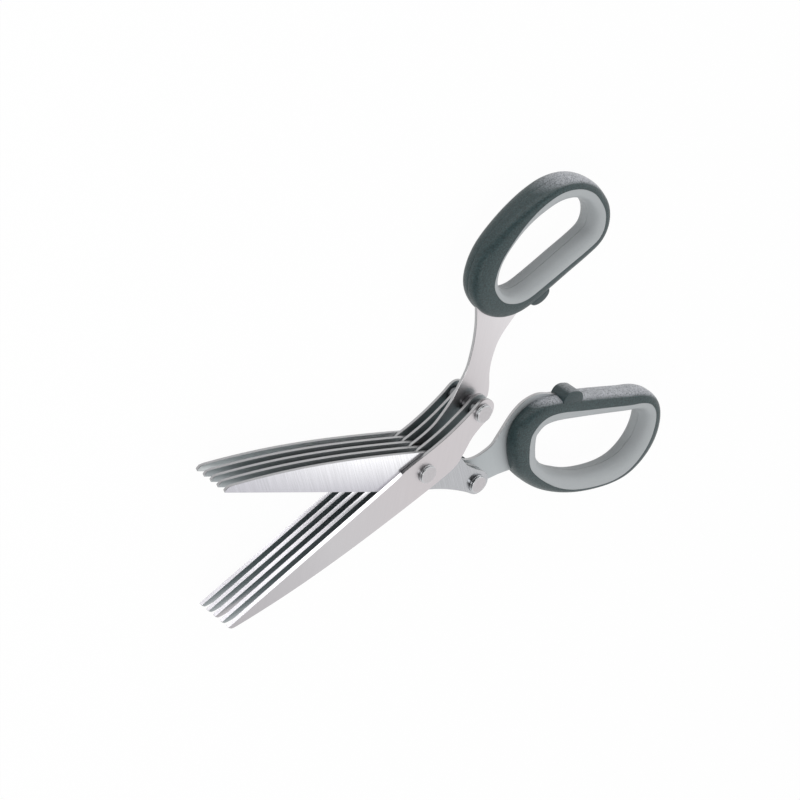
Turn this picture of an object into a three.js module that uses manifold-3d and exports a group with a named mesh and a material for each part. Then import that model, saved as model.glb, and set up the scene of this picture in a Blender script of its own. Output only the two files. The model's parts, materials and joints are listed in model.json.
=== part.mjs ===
// Herb scissors with two interleaved sets of five blades, lying flat and part open.
// Millimetres. The pivot's axis is +Z and passes through the origin, which is the centre of the pivot
// rivet's rear face. The blades point to -X and the handles to +X. Blade 1 of each set is the top one.
import * as THREE from 'three';
import { mergeVertices } from 'three/addons/utils/BufferGeometryUtils.js';
import Module from 'manifold-3d';

const wasm = await Module();
wasm.setup();

// Driving dimensions of the blades
const BLADE_REACH = 82;
const BLADE_WIDTH = 14;
const BLADE_THICKNESS = 1.12;
const BLADES_PER_SET = 5;
const HALF_OPENING = THREE.MathUtils.degToRad(18.47);

// Driving dimensions of the rivets and what sits on them
const RIVET_SHANK_RADIUS = 2;
const RIVET_HEAD_RADIUS = 3.17;
const RIVET_HEAD_HEIGHT = 1.35;
const RIVET_HEAD_CHAMFER = 0.35;
const SET_RIVET_END_RADIUS = 2.6;
const SET_RIVET_END_HEIGHT = 0.48;
const SPACER_RADIUS = 3.1;
const WASHER_RADIUS = 4.2;
const WASHER_THICKNESS = 1.01;
const REAR_RIVET_X = 25.9;
const REAR_RIVET_Y = 6.2;
const REAR_END_RADIUS = 4.25;
const REAR_END_OVERHANG = 0.83;

// Driving dimensions of the two finger loops: where the front end and the facing side of each rim lie
// from the pivot with the blades closed, and how far the rim runs back and across from there
const UPPER_LOOP_X = 44.7;
const UPPER_LOOP_Y = 32.2;
const UPPER_LOOP_LENGTH = 47.3;
const UPPER_LOOP_WIDTH = 29.1;
const LOWER_LOOP_X = 47.7;
const LOWER_LOOP_Y = 17.9;
const LOWER_LOOP_LENGTH = 60.2;
const LOWER_LOOP_WIDTH = 31.5;
const HANDLE_DEPTH = 10.6;
const SHELL_BULGE = 6.9;
const LINER_BULGE = 4.9;

// Driving dimensions of the stop pads
const UPPER_PAD_WIDTH = 8.2;
const UPPER_PAD_HEIGHT = 1.1;
const LOWER_PAD_WIDTH = 9;
const LOWER_PAD_HEIGHT = 2.9;
const PAD_DEPTH = 6.9;
const PAD_SETBACK = 0.96;
const PAD_CHAMFER = 0.3;

// Clearances
const FACE_CLEARANCE = 0.09;
const BORE_CLEARANCE = 0.08;
const SLOT_CLEARANCE = 0.3;
const LINER_CLEARANCE = 0.15;

// How finely the round shapes are cut
const ROUND_SIDES = 24;
const REAR_END_STEPS = 8;
const TANG_STEPS = 2;
const LOOP_STEPS = 3;
const SHELL_STEPS = 8;
const LINER_STEPS = 6;
const PAD_STEPS = 14;

// Outline of a lower blade, closed, with the pivot at (0, 0) and the cutting edge on the +Y side.
// These follow the reach and the width. The edge is the outline of the rear face from heel to tip, and
// the bevel is that of the front face, point for point.
const spineShares = [
  [-1.002, 0.021], [-0.994, -0.045], [-0.981, -0.072], [-0.941, -0.117], [-0.824, -0.227],
  [-0.706, -0.317], [-0.471, -0.434], [-0.235, -0.489], [0, -0.503],
];
const edgeShares = [[-0.099, 0.477], [-1.004, 0.076]];
const bevelShares = [[-0.099, 0.452], [-1.002, 0.048]];
const heelShares = [[0, 0.496], [-0.035, 0.493], [-0.071, 0.489], [-0.095, 0.479]];

// These follow the rear rivet's distance and the blade's width.
const spineEndShares = [
  [0.186, -0.496], [0.372, -0.469], [0.447, -0.434], [0.533, -0.345], [0.633, -0.207],
];
const shoulderShares = [[0.521, 0.541], [0.298, 0.503]];
const upperTangShoulderShares = [[0.444, 0.539], [0.298, 0.503]];

// These follow the rear rivet's distance alone.
const armLowShares = [[0.745, -0.03], [0.931, 0.045]];
const armTopShares = [[0.894, 0.367], [0.745, 0.332]];
const upperTangRootShares = [
  [0.745, -0.03], [0.93, -0.03], [1.12, 0.01], [1.23, 0.06], [1.3, 0.12], [1.34, 0.19], [1.38, 0.3],
];
const lowerTangRootShares = [
  [0.745, -0.03], [0.939, 0.041], [1.05, 0.048], [1.162, 0.022], [1.274, -0.037],
];
const lowerTangHeelShares = [[1.266, 0.391], [1.043, 0.395], [0.894, 0.367], [0.745, 0.332]];
const rearEndAnglesShares = [-0.4, 0.62];

// Outlines of the tangs, which follow the place of the loop that each one holds. The lower handle's
// tang is drawn as its blade lies before it is turned over, with the loop on the -Y side.
const upperTangInnerShares = [
  [0.814, 0.315], [0.857, 0.449], [0.943, 0.608], [1.029, 0.698], [1.161, 0.788], [1.263, 0.869],
];
const upperTangEndShares = [
  [1.263, 0.923], [1.165, 0.947], [1.079, 1.016], [1.008, 1.118], [0.958, 1.234], [0.945, 1.378],
];
const upperTangOuterShares = [
  [0.885, 1.378], [0.87, 1.219], [0.833, 1.037], [0.79, 0.896], [0.747, 0.782], [0.66, 0.599],
  [0.574, 0.494], [0.445, 0.351], [0.337, 0.275],
];
const lowerTangOuterShares = [
  [0.752, -0.183], [0.773, -0.291], [0.813, -0.55], [0.853, -0.792], [0.914, -1.008],
  [0.995, -1.143], [1.076, -1.196], [1.177, -1.18], [1.315, -1.153],
];
const lowerTangEndShares = [
  [1.315, -1.056], [1.226, -1.035], [1.064, -0.916], [0.983, -0.679], [0.957, -0.431], [0.961, -0.216],
  [0.997, 0.027], [1.056, 0.269], [1.082, 0.388],
];
const lowerTangInnerShares = [[1.011, 0.372], [0.91, 0.437], [0.829, 0.512], [0.769, 0.555]];

// Rims of the loops, anticlockwise: share of the length, share of the width, then how much of the
// shell's and of the liner's bulge each place has.
const upperLoopShares = [
  [0, 0.432, 0.99, 0.55], [0.032, 0.213, 0.96, 0.55], [0.116, 0.067, 0.91, 0.55],
  [0.228, -0.005, 0.79, 0.6], [0.401, -0.003, 0.7, 0.61], [0.605, 0.014, 0.64, 0.67],
  [0.789, 0.03, 0.61, 0.71], [0.901, 0.062, 0.6, 0.74], [0.968, 0.163, 0.59, 0.69],
  [1, 0.319, 0.55, 0.65], [0.991, 0.485, 0.5, 0.63], [0.948, 0.684, 0.46, 0.71],
  [0.85, 0.866, 0.43, 0.83], [0.707, 0.982, 0.39, 0.93], [0.544, 1, 0.43, 0.89],
  [0.381, 0.946, 0.57, 0.65], [0.238, 0.843, 0.8, 0.41], [0.116, 0.723, 0.95, 0.37],
  [0.038, 0.584, 1.01, 0.45],
];
const lowerLoopShares = [
  [0, -0.36, 0.88, 0.91], [0.054, -0.645, 0.68, 0.93], [0.137, -0.783, 0.59, 0.85],
  [0.249, -0.89, 0.53, 0.83], [0.361, -0.963, 0.41, 0.95], [0.483, -1, 0.32, 0.96],
  [0.618, -0.994, 0.31, 0.95], [0.77, -0.948, 0.31, 1], [0.882, -0.85, 0.45, 1],
  [0.954, -0.697, 0.6, 0.91], [0.994, -0.513, 0.7, 0.79], [1, -0.323, 0.67, 0.73],
  [0.974, -0.143, 0.57, 0.69], [0.914, -0.032, 0.52, 0.69], [0.834, 0, 0.53, 0.67],
  [0.73, -0.014, 0.57, 0.67], [0.554, -0.023, 0.6, 0.71], [0.361, -0.035, 0.62, 0.77],
  [0.179, -0.045, 0.59, 0.91], [0.073, -0.097, 0.69, 0.98], [0.015, -0.213, 0.86, 0.96],
];
const sectionRoundnessShare = 0.8;
const upperPadShare = 0.34;
const upperPadRoundnessShare = 1;
const lowerPadShare = 0.259;
const lowerPadRoundnessShare = 0.77;
const padRootShare = 0.6;

// Heights in the stack of blades, from the pivot rivet's rear face up
const pairGap = WASHER_THICKNESS + 2 * FACE_CLEARANCE;
const bladePitch = 2 * BLADE_THICKNESS + FACE_CLEARANCE + pairGap;
const spacerLength = bladePitch - BLADE_THICKNESS - 2 * FACE_CLEARANCE;
const stackBottom = RIVET_HEAD_HEIGHT + FACE_CLEARANCE;
const upperBladeTop = (number) => stackBottom + (BLADES_PER_SET - number) * bladePitch + BLADE_THICKNESS;
const lowerBladeTop = (number) => upperBladeTop(number) + FACE_CLEARANCE + BLADE_THICKNESS;
const middle = (stackBottom + lowerBladeTop(1)) / 2;
const boreRadius = RIVET_SHANK_RADIUS + BORE_CLEARANCE;
const tangBlade = Math.ceil(BLADES_PER_SET / 2);

// Materials
const satinSteel = new THREE.MeshStandardMaterial({ color: '#c9c6c6', metalness: 1, roughness: 0.32 });
const brightSteel = new THREE.MeshStandardMaterial({ color: '#d4d2d0', metalness: 1, roughness: 0.18 });
const darkPlastic = new THREE.MeshStandardMaterial({ color: '#464f50', metalness: 0, roughness: 0.55 });
const greyPlastic = new THREE.MeshStandardMaterial({ color: '#9ba1a2', metalness: 0, roughness: 0.45 });

const scaled = (shares, sizeX, sizeY) => shares.map(([x, y]) => new THREE.Vector2(x * sizeX, y * sizeY));
const smooth = (points) => new THREE.SplineCurve(points).getPoints((points.length - 1) * TANG_STEPS);
const rounded = (value, share) => Math.sign(value) * Math.abs(value) ** share;

function circle(x, y, radius) {
  return Array.from({ length: ROUND_SIDES }, (_, i) => {
    const angle = (-2 * Math.PI * i) / ROUND_SIDES;
    return new THREE.Vector2(x + radius * Math.cos(angle), y + radius * Math.sin(angle));
  });
}

function bufferGeometry(positions, index) {
  const geometry = new THREE.BufferGeometry();
  geometry.setAttribute('position', new THREE.Float32BufferAttribute(positions, 3));
  geometry.setIndex(index);
  return geometry;
}

// A flat plate whose rear and front outlines have the same number of points, with holes through it.
// Where the two outlines part, the wall between them is a slope, which makes the ground bevel.
function plateGeometry(rearOutline, frontOutline, holes, thickness) {
  const rear = [rearOutline, ...holes].flat();
  const front = [frontOutline, ...holes].flat();
  const positions = [
    ...rear.flatMap((point) => [point.x, point.y, 0]),
    ...front.flatMap((point) => [point.x, point.y, thickness]),
  ];
  const index = [];
  for (const [a, b, c] of THREE.ShapeUtils.triangulateShape(rearOutline, holes)) {
    index.push(c, b, a);
  }
  for (const [a, b, c] of THREE.ShapeUtils.triangulateShape(frontOutline, holes)) {
    index.push(rear.length + a, rear.length + b, rear.length + c);
  }
  let first = 0;
  for (const loop of [rearOutline, ...holes]) {
    for (let i = 0; i < loop.length; i += 1) {
      const here = first + i;
      const next = first + ((i + 1) % loop.length);
      index.push(here, next, rear.length + next);
      index.push(here, rear.length + next, rear.length + here);
    }
    first += loop.length;
  }
  return bufferGeometry(positions, index);
}

// The arm behind the pivot of a blade that ends round its rear rivet
function plainArm() {
  const [startAngle, endAngle] = rearEndAnglesShares.map((share) => share * Math.PI);
  const end = Array.from({ length: REAR_END_STEPS + 1 }, (_, i) => {
    const angle = startAngle + ((endAngle - startAngle) * i) / REAR_END_STEPS;
    return new THREE.Vector2(
      REAR_RIVET_X + REAR_END_OVERHANG + REAR_END_RADIUS * Math.cos(angle),
      REAR_RIVET_Y + REAR_END_RADIUS * Math.sin(angle),
    );
  });
  return [
    ...scaled(armLowShares, REAR_RIVET_X, REAR_RIVET_X),
    ...end,
    ...scaled(armTopShares, REAR_RIVET_X, REAR_RIVET_X),
    ...scaled(shoulderShares, REAR_RIVET_X, BLADE_WIDTH),
  ];
}

function upperTangArm() {
  const inner = [
    ...scaled(upperTangRootShares, REAR_RIVET_X, REAR_RIVET_X),
    ...scaled(upperTangInnerShares, UPPER_LOOP_X, UPPER_LOOP_Y),
  ];
  const outer = [
    ...scaled(upperTangOuterShares, UPPER_LOOP_X, UPPER_LOOP_Y),
    ...scaled(upperTangShoulderShares, REAR_RIVET_X, BLADE_WIDTH),
  ];
  return [...smooth(inner), ...scaled(upperTangEndShares, UPPER_LOOP_X, UPPER_LOOP_Y), ...smooth(outer)];
}

function lowerTangArm() {
  const outer = [
    ...scaled(lowerTangRootShares, REAR_RIVET_X, REAR_RIVET_X),
    ...scaled(lowerTangOuterShares, LOWER_LOOP_X, LOWER_LOOP_Y),
  ];
  const inner = [
    ...scaled(lowerTangInnerShares, LOWER_LOOP_X, LOWER_LOOP_Y),
    ...scaled(lowerTangHeelShares, REAR_RIVET_X, REAR_RIVET_X),
    ...scaled(shoulderShares, REAR_RIVET_X, BLADE_WIDTH),
  ];
  return [...smooth(outer), ...scaled(lowerTangEndShares, LOWER_LOOP_X, LOWER_LOOP_Y), ...smooth(inner)];
}

function bladeGeometry(arm) {
  const shared = [
    ...scaled(spineShares, BLADE_REACH, BLADE_WIDTH),
    ...scaled(spineEndShares, REAR_RIVET_X, BLADE_WIDTH),
    ...arm,
    ...scaled(heelShares, BLADE_REACH, BLADE_WIDTH),
  ];
  const edge = scaled(edgeShares, BLADE_REACH, BLADE_WIDTH);
  const bevel = scaled(bevelShares, BLADE_REACH, BLADE_WIDTH);
  const holes = [circle(0, 0, boreRadius), circle(REAR_RIVET_X, REAR_RIVET_Y, boreRadius)];
  return plateGeometry([...shared, ...edge], [...shared, ...bevel], holes, BLADE_THICKNESS);
}

// Turns a profile of [radius, height] pairs round +Z.
function turned(profile) {
  const points = profile.map(([radius, height]) => new THREE.Vector2(radius, height));
  return new THREE.LatheGeometry(points, ROUND_SIDES).rotateX(Math.PI / 2);
}

function collarGeometry(outerRadius, length) {
  return turned([
    [boreRadius, 0],
    [outerRadius, 0],
    [outerRadius, length],
    [boreRadius, length],
    [boreRadius, 0],
  ]);
}

// A rivet that clamps blades that stand grip high, counted up from the face of its rear end. The
// front head is the same on all three rivets, and the rear end is given.
function rivetGeometry(grip, endRadius, endHeight) {
  const shankTop = endHeight + 2 * FACE_CLEARANCE + grip;
  const top = shankTop + RIVET_HEAD_HEIGHT;
  return turned([
    [0, 0],
    [endRadius - RIVET_HEAD_CHAMFER, 0],
    [endRadius, RIVET_HEAD_CHAMFER],
    [endRadius, endHeight],
    [RIVET_SHANK_RADIUS, endHeight],
    [RIVET_SHANK_RADIUS, shankTop],
    [RIVET_HEAD_RADIUS, shankTop],
    [RIVET_HEAD_RADIUS, top - RIVET_HEAD_CHAMFER],
    [RIVET_HEAD_RADIUS - RIVET_HEAD_CHAMFER, top],
    [0, top],
  ]);
}

// The closed rim curve of a loop. Its third coordinate is the bulge from the given column of shares.
function rimCurve(loop, column, bulge) {
  const points = loop.shares.map((row) => new THREE.Vector3(
    loop.x + row[0] * loop.length,
    loop.y + row[1] * loop.width,
    row[column] * bulge,
  ));
  return new THREE.CatmullRomCurve3(points, true, 'catmullrom');
}

function rimStation(curve, t) {
  const point = curve.getPoint(t);
  const tangent = curve.getTangent(t);
  return { point, outward: new THREE.Vector2(tangent.y, -tangent.x).normalize() };
}

// One half of the handle's section, carried round the rim: a flat wall at the rim, moved in by inset,
// and a rounded bulge on the side where startAngle begins.
function halfLoopGeometry(loop, column, bulge, startAngle, steps, inset) {
  const curve = rimCurve(loop, column, bulge);
  const stations = loop.shares.length * LOOP_STEPS;
  const row = steps + 1;
  const positions = [];
  const index = [];
  for (let i = 0; i < stations; i += 1) {
    const { point, outward } = rimStation(curve, i / stations);
    const next = (i + 1) % stations;
    for (let j = 0; j < row; j += 1) {
      const angle = startAngle + (Math.PI * j) / steps;
      const reach = rounded(Math.cos(angle), sectionRoundnessShare) * point.z - inset;
      const height = (rounded(Math.sin(angle), sectionRoundnessShare) * HANDLE_DEPTH) / 2;
      positions.push(point.x + outward.x * reach, point.y + outward.y * reach, middle + height);
      const above = (j + 1) % row;
      index.push(i * row + j, next * row + j, next * row + above);
      index.push(i * row + j, next * row + above, i * row + above);
    }
  }
  return bufferGeometry(positions, index);
}

// The stop pad on the side of a loop that faces the other handle: half a squarish oval on straight
// sides, which start where the pad's front face leaves the shell's wall and are rooted inside it
function padGeometry(loop) {
  const curve = rimCurve(loop, 2, SHELL_BULGE);
  const padX = loop.x + loop.padShare * loop.length;
  const samples = loop.shares.length * LOOP_STEPS * LOOP_STEPS;
  const facing = Array.from({ length: samples }, (_, i) => rimStation(curve, i / samples))
    .filter(({ outward }) => outward.y * loop.facing > Math.abs(outward.x));
  facing.sort((a, b) => Math.abs(a.point.x - padX) - Math.abs(b.point.x - padX));
  const { point } = facing[0];
  const wall = point.y + loop.facing * point.z;
  const halfWidth = loop.padWidth / 2;
  const root = padRootShare * point.z;
  const frontLevel = 1 - PAD_SETBACK / (HANDLE_DEPTH / 2);
  const power = 2 / sectionRoundnessShare;
  const sunk = point.z * (1 - (1 - frontLevel ** power) ** (1 / power));
  const oval = Array.from({ length: PAD_STEPS + 1 }, (_, i) => {
    const angle = (Math.PI * i) / PAD_STEPS;
    return new THREE.Vector2(
      halfWidth * rounded(Math.cos(angle), loop.padRoundnessShare),
      (loop.padHeight + sunk) * rounded(Math.sin(angle), loop.padRoundnessShare) - sunk,
    );
  });
  const profile = [new THREE.Vector2(halfWidth, -root), ...oval, new THREE.Vector2(-halfWidth, -root)];
  const outline = profile.map(({ x, y }) => new THREE.Vector2(padX + x, wall + loop.facing * y));
  const geometry = new THREE.ExtrudeGeometry(new THREE.Shape(outline), {
    depth: PAD_DEPTH - 2 * PAD_CHAMFER,
    bevelThickness: PAD_CHAMFER,
    bevelSize: PAD_CHAMFER,
    bevelOffset: -PAD_CHAMFER,
    bevelSegments: 1,
  });
  const frontFace = middle + (frontLevel * HANDLE_DEPTH) / 2;
  return geometry.translate(0, 0, frontFace - PAD_DEPTH + PAD_CHAMFER);
}

// Moves every side of an anticlockwise outline outward.
function grown(outline, distance) {
  return outline.map((point, i) => {
    const before = outline[(i + outline.length - 1) % outline.length];
    const after = outline[(i + 1) % outline.length];
    const sideIn = point.clone().sub(before).normalize();
    const sideOut = after.clone().sub(point).normalize();
    const normalIn = new THREE.Vector2(sideIn.y, -sideIn.x);
    const normalOut = new THREE.Vector2(sideOut.y, -sideOut.x);
    const corner = normalIn.clone().add(normalOut).normalize();
    return point.clone().addScaledVector(corner, distance / corner.dot(normalIn));
  });
}

// What the tang takes up in its handle, with clearance on every side
function slotGeometry(loop) {
  const outline = grown(loop.tang, SLOT_CLEARANCE);
  const turnedOver = outline.map((point) => new THREE.Vector2(point.x, loop.turn * point.y));
  const geometry = new THREE.ExtrudeGeometry(new THREE.Shape(turnedOver), {
    depth: BLADE_THICKNESS + 2 * SLOT_CLEARANCE,
    bevelEnabled: false,
  });
  return geometry.translate(0, 0, loop.tangTop - BLADE_THICKNESS - SLOT_CLEARANCE);
}

function toSolid(geometry) {
  const bare = geometry.clone();
  bare.deleteAttribute('normal');
  bare.deleteAttribute('uv');
  const merged = mergeVertices(bare);
  return new wasm.Manifold(new wasm.Mesh({
    numProp: 3,
    vertProperties: new Float32Array(merged.attributes.position.array),
    triVerts: new Uint32Array(merged.index.array),
  }));
}

function toGeometry(solid) {
  const mesh = solid.getMesh();
  return bufferGeometry(Array.from(mesh.vertProperties), Array.from(mesh.triVerts));
}

function shellGeometry(loop) {
  const wall = halfLoopGeometry(loop, 2, SHELL_BULGE, -Math.PI / 2, SHELL_STEPS, 0);
  const slot = toSolid(slotGeometry(loop));
  return toGeometry(toSolid(wall).add(toSolid(padGeometry(loop))).subtract(slot));
}

function linerGeometry(loop) {
  return halfLoopGeometry(loop, 3, LINER_BULGE, Math.PI / 2, LINER_STEPS, LINER_CLEARANCE);
}

function addMesh(parent, name, geometry, material) {
  const mesh = new THREE.Mesh(geometry, material);
  mesh.name = name;
  parent.add(mesh);
  return mesh;
}

const upperLoop = {
  x: UPPER_LOOP_X,
  y: UPPER_LOOP_Y,
  length: UPPER_LOOP_LENGTH,
  width: UPPER_LOOP_WIDTH,
  shares: upperLoopShares,
  facing: -1,
  padShare: upperPadShare,
  padRoundnessShare: upperPadRoundnessShare,
  padWidth: UPPER_PAD_WIDTH,
  padHeight: UPPER_PAD_HEIGHT,
  tang: upperTangArm(),
  turn: 1,
  tangTop: lowerBladeTop(tangBlade),
};
const lowerLoop = {
  x: LOWER_LOOP_X,
  y: LOWER_LOOP_Y,
  length: LOWER_LOOP_LENGTH,
  width: LOWER_LOOP_WIDTH,
  shares: lowerLoopShares,
  facing: 1,
  padShare: lowerPadShare,
  padRoundnessShare: lowerPadRoundnessShare,
  padWidth: LOWER_PAD_WIDTH,
  padHeight: LOWER_PAD_HEIGHT,
  tang: lowerTangArm(),
  turn: -1,
  tangTop: upperBladeTop(tangBlade),
};

const group = new THREE.Group();

// The lever of the lower blades and the upper handle, which also carries the pivot rivet
const lowerLever = new THREE.Group();
lowerLever.rotation.z = HALF_OPENING;
group.add(lowerLever);

// The lever of the upper blades and the lower handle
const upperLever = new THREE.Group();
upperLever.rotation.z = -HALF_OPENING;
group.add(upperLever);

for (let number = 1; number <= BLADES_PER_SET; number += 1) {
  const hasTang = number === tangBlade;
  const lowerGeometry = bladeGeometry(hasTang ? upperLoop.tang : plainArm());
  const lowerBlade = addMesh(lowerLever, `lower_blade_${number}`, lowerGeometry, satinSteel);
  lowerBlade.position.z = lowerBladeTop(number) - BLADE_THICKNESS;
  const upperGeometry = bladeGeometry(hasTang ? lowerLoop.tang : plainArm());
  const upperBlade = addMesh(upperLever, `upper_blade_${number}`, upperGeometry, satinSteel);
  upperBlade.rotation.x = Math.PI;
  upperBlade.position.z = upperBladeTop(number);
}

// Washers and spacers fill the gap above each blade but the top one.
for (let number = 1; number < BLADES_PER_SET; number += 1) {
  const washer = collarGeometry(WASHER_RADIUS, WASHER_THICKNESS);
  const pivotWasher = addMesh(lowerLever, `pivot_washer_${number}`, washer, satinSteel);
  pivotWasher.position.z = lowerBladeTop(number + 1) + FACE_CLEARANCE;
  const spacer = collarGeometry(SPACER_RADIUS, spacerLength);
  const lowerSpacer = addMesh(lowerLever, `lower_set_spacer_${number}`, spacer, brightSteel);
  lowerSpacer.position.set(REAR_RIVET_X, REAR_RIVET_Y, lowerBladeTop(number + 1) + FACE_CLEARANCE);
  const upperSpacer = addMesh(upperLever, `upper_set_spacer_${number}`, spacer.clone(), brightSteel);
  upperSpacer.position.set(REAR_RIVET_X, -REAR_RIVET_Y, upperBladeTop(number + 1) + FACE_CLEARANCE);
}

// The pivot rivet clamps all the blades, and each rear rivet the blades of one set.
const setGrip = (BLADES_PER_SET - 1) * bladePitch + BLADE_THICKNESS;
const allGrip = lowerBladeTop(1) - stackBottom;
const endBelowBlades = SET_RIVET_END_HEIGHT + FACE_CLEARANCE;
const pivotGeometry = rivetGeometry(allGrip, RIVET_HEAD_RADIUS, RIVET_HEAD_HEIGHT);
const setGeometry = rivetGeometry(setGrip, SET_RIVET_END_RADIUS, SET_RIVET_END_HEIGHT);
addMesh(lowerLever, 'pivot_rivet', pivotGeometry, brightSteel);
const lowerRivet = addMesh(lowerLever, 'lower_set_rivet', setGeometry, brightSteel);
lowerRivet.position.set(REAR_RIVET_X, REAR_RIVET_Y, lowerBladeTop(1) - setGrip - endBelowBlades);
const upperRivet = addMesh(upperLever, 'upper_set_rivet', setGeometry.clone(), brightSteel);
upperRivet.position.set(REAR_RIVET_X, -REAR_RIVET_Y, upperBladeTop(1) - setGrip - endBelowBlades);

addMesh(lowerLever, 'upper_handle_shell', shellGeometry(upperLoop), darkPlastic);
addMesh(lowerLever, 'upper_handle_liner', linerGeometry(upperLoop), greyPlastic);
addMesh(upperLever, 'lower_handle_shell', shellGeometry(lowerLoop), darkPlastic);
addMesh(upperLever, 'lower_handle_liner', linerGeometry(lowerLoop), greyPlastic);

export default group;
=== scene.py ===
# %% [markdown]
# # Dressing a pair of herb scissors
# The real scissors are ten flat steel blades on one rivet, with two finger loops moulded round the
# tangs of the middle blades. The frame brings every piece at its true size and place, but faceted.
# This lesson reads the outlines back from the frame, rebuilds each piece with fine, smooth edges
# where it lies, and gives it the finish that its maker would give it.

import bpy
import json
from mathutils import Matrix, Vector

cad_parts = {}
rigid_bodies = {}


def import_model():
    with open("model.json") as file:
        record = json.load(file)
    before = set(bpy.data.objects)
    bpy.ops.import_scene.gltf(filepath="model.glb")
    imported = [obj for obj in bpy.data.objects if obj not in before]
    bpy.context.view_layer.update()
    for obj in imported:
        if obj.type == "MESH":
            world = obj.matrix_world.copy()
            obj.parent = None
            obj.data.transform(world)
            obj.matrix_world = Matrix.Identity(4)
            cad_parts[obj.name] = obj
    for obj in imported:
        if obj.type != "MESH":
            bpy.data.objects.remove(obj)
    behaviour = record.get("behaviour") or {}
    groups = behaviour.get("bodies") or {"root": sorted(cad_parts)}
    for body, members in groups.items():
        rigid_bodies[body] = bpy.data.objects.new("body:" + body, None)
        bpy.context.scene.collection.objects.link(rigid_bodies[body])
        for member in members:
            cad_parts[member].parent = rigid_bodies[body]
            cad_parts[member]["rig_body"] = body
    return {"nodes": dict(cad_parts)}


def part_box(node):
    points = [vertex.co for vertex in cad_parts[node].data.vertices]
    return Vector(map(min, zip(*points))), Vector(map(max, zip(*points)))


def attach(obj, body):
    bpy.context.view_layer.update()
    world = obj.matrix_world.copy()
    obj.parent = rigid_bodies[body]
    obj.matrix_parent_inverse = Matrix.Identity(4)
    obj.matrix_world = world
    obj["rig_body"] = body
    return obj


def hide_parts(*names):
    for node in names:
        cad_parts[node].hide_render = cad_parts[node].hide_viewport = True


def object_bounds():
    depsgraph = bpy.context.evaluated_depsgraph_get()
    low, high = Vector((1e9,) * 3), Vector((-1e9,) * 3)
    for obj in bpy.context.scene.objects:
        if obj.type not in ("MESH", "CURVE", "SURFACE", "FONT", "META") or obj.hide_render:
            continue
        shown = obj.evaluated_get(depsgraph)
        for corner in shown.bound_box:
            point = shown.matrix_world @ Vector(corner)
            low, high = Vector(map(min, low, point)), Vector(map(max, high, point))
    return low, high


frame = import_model()
cad_low, cad_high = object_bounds()
print("frame:", len(frame["nodes"]), "nodes from", tuple(cad_low), "to", tuple(cad_high))

# %% [markdown]
# Blender works in metres, and a small tool is easier to think of in millimetres, so every size
# below is a number of millimetres times MM. Colours are written as a designer would pick them, in
# sRGB hex, and one function turns them into the linear light that the shaders work in.

# %% Lengths and colours
import json
import math

import bmesh
import bpy
from mathutils import Quaternion, Vector
from mathutils.bvhtree import BVHTree
from mathutils.geometry import tessellate_polygon

MM = 0.001
WELD = 0.001 * MM


def linear(hex_colour):
    """An sRGB hex colour as the linear RGBA that a shader takes."""
    channels = []
    for start in (1, 3, 5):
        value = int(hex_colour[start:start + 2], 16) / 255
        channels.append(value / 12.92 if value <= 0.04045 else ((value + 0.055) / 1.055) ** 2.4)
    return (*channels, 1.0)


# %% [markdown]
# The scissors lie flat, and the photographer looked down at them from behind the blades with a long
# lens and a strongly rolled camera. A long lens far away keeps the parallel blades nearly parallel.
# Aim, distance, two angles and a roll say all of that in a form that can be read.

# %% Camera
CAMERA_AIM = Vector((-4.988, 25.571, 9.645)) * MM
CAMERA_DISTANCE = 944.15 * MM
CAMERA_AZIMUTH = math.radians(224.162)
CAMERA_ELEVATION = math.radians(39.7)
CAMERA_ROLL = math.radians(125.075)
CAMERA_LENS = 135
CAMERA_SENSOR = 36
CAMERA_REACH = 100

backward = Vector((
    math.sin(CAMERA_AZIMUTH) * math.cos(CAMERA_ELEVATION),
    -math.cos(CAMERA_AZIMUTH) * math.cos(CAMERA_ELEVATION),
    math.sin(CAMERA_ELEVATION),
))
camera = bpy.data.objects.new("camera", bpy.data.cameras.new("camera"))
camera.data.lens = CAMERA_LENS
camera.data.sensor_width = CAMERA_SENSOR
camera.data.clip_end = CAMERA_REACH
camera.location = CAMERA_AIM + backward * CAMERA_DISTANCE
camera.rotation_mode = "QUATERNION"
level = (-backward).to_track_quat("-Z", "Y")
camera.rotation_quaternion = level @ Quaternion((0, 0, 1), CAMERA_ROLL)
bpy.context.scene.collection.objects.link(camera)
bpy.context.scene.camera = camera
print("camera at", tuple(round(value, 4) for value in camera.location))

# %% [markdown]
# A material is a small graph of nodes. One function adds a node, sets what is constant and links
# what varies. Everything else is just a list of such calls. Blender's noise hardly ever leaves the
# range from 0.25 to 0.75, and most of it lies between 0.35 and 0.65, so tones are mapped from there.

# %% Material helpers
NOISE_LOWEST, NOISE_HIGHEST = 0.25, 0.75
MOSTLY_FROM, MOSTLY_TO = 0.35, 0.65


def new_material(name):
    """A node material with its own empty graph, and the graph."""
    material = bpy.data.materials.new(name)
    material.use_nodes = True
    material.node_tree.nodes.clear()
    return material, material.node_tree


def add(tree, kind, settings=None, links=None):
    """A node of that kind, with its settings (properties or inputs by name) and its links (input: output)."""
    node = tree.nodes.new("ShaderNode" + kind)
    for key, value in (settings or {}).items():
        if isinstance(key, str) and hasattr(node, key):
            setattr(node, key, value)
        else:
            node.inputs[key].default_value = value
    for key, output in (links or {}).items():
        tree.links.new(output, node.inputs[key])
    return node


def shade_stops(ramp, stops):
    """Sets a colour ramp's stops from (place, grey or colour) pairs."""
    elements = ramp.color_ramp.elements
    while len(elements) < len(stops):
        elements.new(0.5)
    for element, (place, value) in zip(elements, stops):
        element.position = place
        element.color = value if isinstance(value, tuple) else (value, value, value, 1)


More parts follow.
